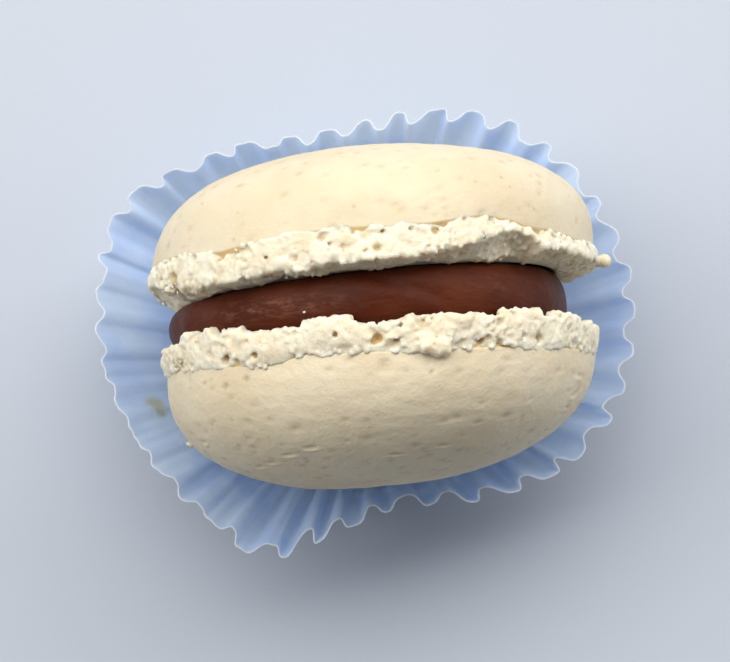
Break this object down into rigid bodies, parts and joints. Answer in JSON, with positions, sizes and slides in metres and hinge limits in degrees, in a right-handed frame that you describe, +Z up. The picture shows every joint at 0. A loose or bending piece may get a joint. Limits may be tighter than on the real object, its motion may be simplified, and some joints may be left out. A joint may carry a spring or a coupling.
{
  "type": "french macaron",
  "caption": "Round almond meringue sandwich biscuit with a chocolate filling, lying on its edge in a fluted paper case.",
  "frame": {"origin": "middle of the whole object's outline, on the surface that the paper case stands on", "axes": "+Z up, +X across the round of the biscuit, +Y along its thickness from the lower shell to the upper one"},
  "size_m": [0.0576, 0.0478, 0.0468],
  "materials": {
    "meringue": "matte",
    "chocolate": "satin",
    "case_paper": "matte"
  },
  "bodies": {
    "root": {"upper_shell": "meringue", "lower_shell": "meringue", "chocolate_filling": "chocolate", "paper_case": "case_paper"}
  },
  "joints": []
}
